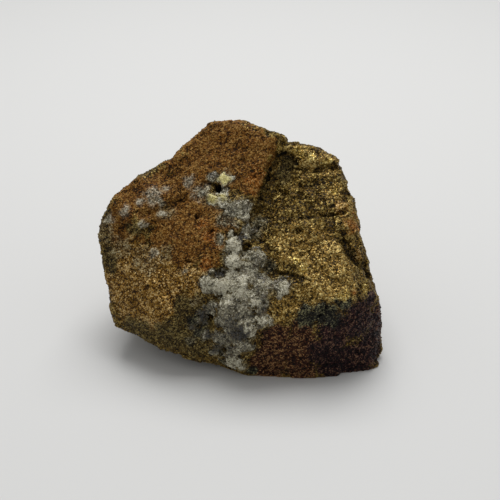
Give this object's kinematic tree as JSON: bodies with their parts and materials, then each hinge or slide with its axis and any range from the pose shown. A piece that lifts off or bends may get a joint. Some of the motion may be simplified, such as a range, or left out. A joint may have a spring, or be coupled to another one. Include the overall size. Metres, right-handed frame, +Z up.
{
  "type": "chalcopyrite specimen",
  "caption": "Hand specimen of massive chalcopyrite ore, broken along flat faces, with a milky quartz vein, vugs, rusty and purple tarnish and a flat base.",
  "frame": {"origin": "centre of the object's box, on the surface it rests on", "axes": "+X along its width to the viewer's right, +Y from its broken front to its back, +Z up from the flat base to the crown"},
  "size_m": [0.0938, 0.0754, 0.0702],
  "materials": {
    "ore": "hackly brassy metallic grain under rust-brown, olive and purple-black tarnish",
    "quartz": "milky grey-white vein quartz, vitreous, slightly translucent"
  },
  "bodies": {
    "root": {"chalcopyrite_rock": "ore"}
  },
  "joints": []
}
